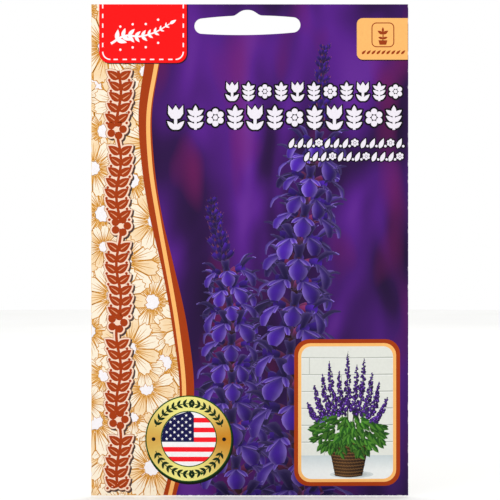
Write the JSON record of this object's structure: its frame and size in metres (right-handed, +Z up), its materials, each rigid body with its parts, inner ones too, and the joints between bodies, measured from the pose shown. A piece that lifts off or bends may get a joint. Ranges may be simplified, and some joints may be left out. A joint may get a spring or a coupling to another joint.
{
  "type": "seed packet",
  "caption": "Flat paper flower-seed packet, gently pillowed, with a euro hang slot through its glued header and a small sachet of seeds inside.",
  "frame": {"origin": "top of the hang slot's hump, where a display peg bears, half way through the glued header's thickness", "axes": "+Z up along the packet's height, +X across it to the right as the printed front is read, the printed front faces -Y"},
  "size_m": [0.096, 0.004, 0.1487],
  "materials": {
    "coated_paper": "coated, semi-gloss print",
    "glassine": "satin, translucent",
    "seed_husk": "matte"
  },
  "bodies": {
    "root": {"envelope": "coated_paper", "inner_sachet": "glassine", "seed_01": "seed_husk", "seed_02": "seed_husk", "seed_03": "seed_husk", "seed_04": "seed_husk", "seed_05": "seed_husk", "seed_06": "seed_husk", "seed_07": "seed_husk", "seed_08": "seed_husk", "seed_09": "seed_husk", "seed_10": "seed_husk"}
  },
  "joints": []
}
